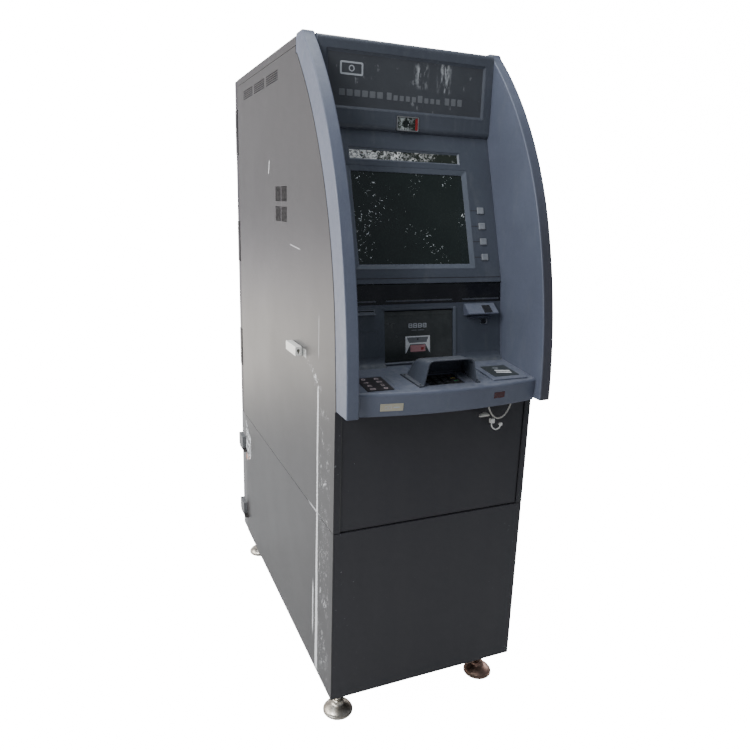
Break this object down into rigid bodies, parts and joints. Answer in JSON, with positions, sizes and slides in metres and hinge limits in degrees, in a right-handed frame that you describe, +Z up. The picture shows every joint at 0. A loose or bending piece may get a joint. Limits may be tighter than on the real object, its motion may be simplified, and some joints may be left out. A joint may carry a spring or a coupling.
{
  "type": "cash machine",
  "caption": "Free-standing cash machine with sloping screen, keypad shelf under a hood, cash cover, side mouldings, rear service door, safe and levelling feet.",
  "frame": {"origin": "middle of the footprint on the floor", "axes": "+Z up, -Y towards the customer, +X to the customer's right"},
  "size_m": [0.549, 1.1276, 1.683],
  "materials": {
    "charcoal_paint": "satin textured paint",
    "fascia_plastic": "fine-textured moulded plastic",
    "dark_fascia": "fine-textured moulded plastic",
    "sign_face": "satin sheet",
    "black_gloss": "polished",
    "dark_glass": "dark tinted",
    "key_plastic": "satin",
    "light_guide": "translucent look, unlit",
    "smoked_plastic": "smoked",
    "bright_steel": "brushed",
    "zinc_steel": "zinc plated",
    "safe_grey": "matt paint",
    "black_metal": "satin black",
    "module_plastic": "moulded",
    "white_plastic": "moulded",
    "pale_cable": "matt jacket"
  },
  "bodies": {
    "cabinet": {"left_side_panel": "charcoal_paint", "right_side_panel": "charcoal_paint", "top_cover": "charcoal_paint", "upper_front_panel": "charcoal_paint", "lower_front_panel": "charcoal_paint", "left_safe_cladding": "charcoal_paint", "right_safe_cladding": "charcoal_paint", "left_wing": "fascia_plastic", "right_wing": "fascia_plastic", "monitor_panel": "fascia_plastic", "card_throat": "fascia_plastic", "shelf": "fascia_plastic", "pin_hood": "fascia_plastic", "header": "dark_fascia", "lower_panel": "dark_fascia", "receipt_printer": "dark_fascia", "sign_panel": "sign_face", "camera": "black_gloss", "status_band": "black_gloss", "screen_glass": "dark_glass", "slit_window": "dark_glass", "light_guide": "light_guide", "keypad_body": "bright_steel", "foot_front_left": "bright_steel", "foot_front_right": "bright_steel", "foot_rear_left": "bright_steel", "foot_rear_right": "bright_steel", "upper_frame": "zinc_steel", "equipment_tray": "zinc_steel", "computer": "zinc_steel", "safe_body": "safe_grey", "monitor": "black_metal", "base_frame": "black_metal", "power_supply": "black_metal", "cash_pocket": "module_plastic", "card_reader": "module_plastic", "icon_pad": "module_plastic", "contactless_reader": "module_plastic", "note_cassette_1": "module_plastic", "note_cassette_2": "module_plastic", "note_cassette_3": "module_plastic", "note_recycler": "module_plastic", "cable_box": "white_plastic", "cable_loop": "pale_cable"},
    "rear_service_door": {"rear_door": "charcoal_paint"},
    "latch": {"door_latch": "black_metal"},
    "vault_door": {"safe_door": "safe_grey"},
    "handle": {"safe_handle": "bright_steel"},
    "bolts": {"safe_bolts": "bright_steel"},
    "dial": {"safe_dial": "black_metal"},
    "cover": {"cash_cover": "smoked_plastic"},
    "keypad_mat": {"keypad_keys": "bright_steel"},
    "key_left_1": {"function_key_left_1": "key_plastic"},
    "key_left_2": {"function_key_left_2": "key_plastic"},
    "key_left_3": {"function_key_left_3": "key_plastic"},
    "key_left_4": {"function_key_left_4": "key_plastic"},
    "key_right_1": {"function_key_right_1": "key_plastic"},
    "key_right_2": {"function_key_right_2": "key_plastic"},
    "key_right_3": {"function_key_right_3": "key_plastic"},
    "key_right_4": {"function_key_right_4": "key_plastic"}
  },
  "joints": [
    {"name": "rear_door_hinge", "type": "hinge", "parent": "cabinet", "child": "rear_service_door", "pos_m": [-0.2602, 0.4997, 0.546], "axis": [0, 0, 1], "range_deg": [0, 110]},
    {"name": "latch_turn", "type": "hinge", "parent": "rear_service_door", "child": "latch", "pos_m": [0.222, 0.5335, 1.12], "axis": [0, 1, 0], "range_deg": [0, 90]},
    {"name": "safe_door_hinge", "type": "hinge", "parent": "cabinet", "child": "vault_door", "pos_m": [-0.2712, 0.5255, 0.084], "axis": [0, 0, 1], "range_deg": [0, 110]},
    {"name": "safe_handle_turn", "type": "hinge", "parent": "vault_door", "child": "handle", "pos_m": [0.13, 0.5335, 0.3], "axis": [0, 1, 0], "range_deg": [0, 90]},
    {"name": "safe_bolt_slide", "type": "slide", "parent": "vault_door", "child": "bolts", "axis": [1, 0, 0], "range_m": [0, 0.018]},
    {"name": "safe_dial_turn", "type": "hinge", "parent": "vault_door", "child": "dial", "pos_m": [0.13, 0.5335, 0.42], "axis": [0, 1, 0], "continuous": true},
    {"name": "cash_cover_hinge", "type": "hinge", "parent": "cabinet", "child": "cover", "pos_m": [0, -0.36278, 1.04621], "axis": [1, 0, 0], "range_deg": [0, 65], "stiffness_Nm_per_rad": 0.15, "springref_deg": -20.05},
    {"name": "keypad_press", "type": "slide", "parent": "cabinet", "child": "keypad_mat", "axis": [0, 0.1071, -0.9942], "range_m": [0, 0.0015], "stiffness_N_per_m": 2000, "springref_m": -0.001},
    {"name": "function_key_left_1_press", "type": "slide", "parent": "cabinet", "child": "key_left_1", "axis": [0, 0.9508, -0.3098], "range_m": [0, 0.0015], "stiffness_N_per_m": 600, "springref_m": -0.001},
    {"name": "function_key_left_2_press", "type": "slide", "parent": "cabinet", "child": "key_left_2", "axis": [0, 0.9508, -0.3098], "range_m": [0, 0.0015], "stiffness_N_per_m": 600, "springref_m": -0.001},
    {"name": "function_key_left_3_press", "type": "slide", "parent": "cabinet", "child": "key_left_3", "axis": [0, 0.9508, -0.3098], "range_m": [0, 0.0015], "stiffness_N_per_m": 600, "springref_m": -0.001},
    {"name": "function_key_left_4_press", "type": "slide", "parent": "cabinet", "child": "key_left_4", "axis": [0, 0.9508, -0.3098], "range_m": [0, 0.0015], "stiffness_N_per_m": 600, "springref_m": -0.001},
    {"name": "function_key_right_1_press", "type": "slide", "parent": "cabinet", "child": "key_right_1", "axis": [0, 0.9508, -0.3098], "range_m": [0, 0.0015], "stiffness_N_per_m": 600, "springref_m": -0.001},
    {"name": "function_key_right_2_press", "type": "slide", "parent": "cabinet", "child": "key_right_2", "axis": [0, 0.9508, -0.3098], "range_m": [0, 0.0015], "stiffness_N_per_m": 600, "springref_m": -0.001},
    {"name": "function_key_right_3_press", "type": "slide", "parent": "cabinet", "child": "key_right_3", "axis": [0, 0.9508, -0.3098], "range_m": [0, 0.0015], "stiffness_N_per_m": 600, "springref_m": -0.001},
    {"name": "function_key_right_4_press", "type": "slide", "parent": "cabinet", "child": "key_right_4", "axis": [0, 0.9508, -0.3098], "range_m": [0, 0.0015], "stiffness_N_per_m": 600, "springref_m": -0.001}
  ],
  "couplings": [
    {"joint": "safe_bolt_slide", "follows": "safe_handle_turn", "m_per_rad": 0.011458}
  ]
}
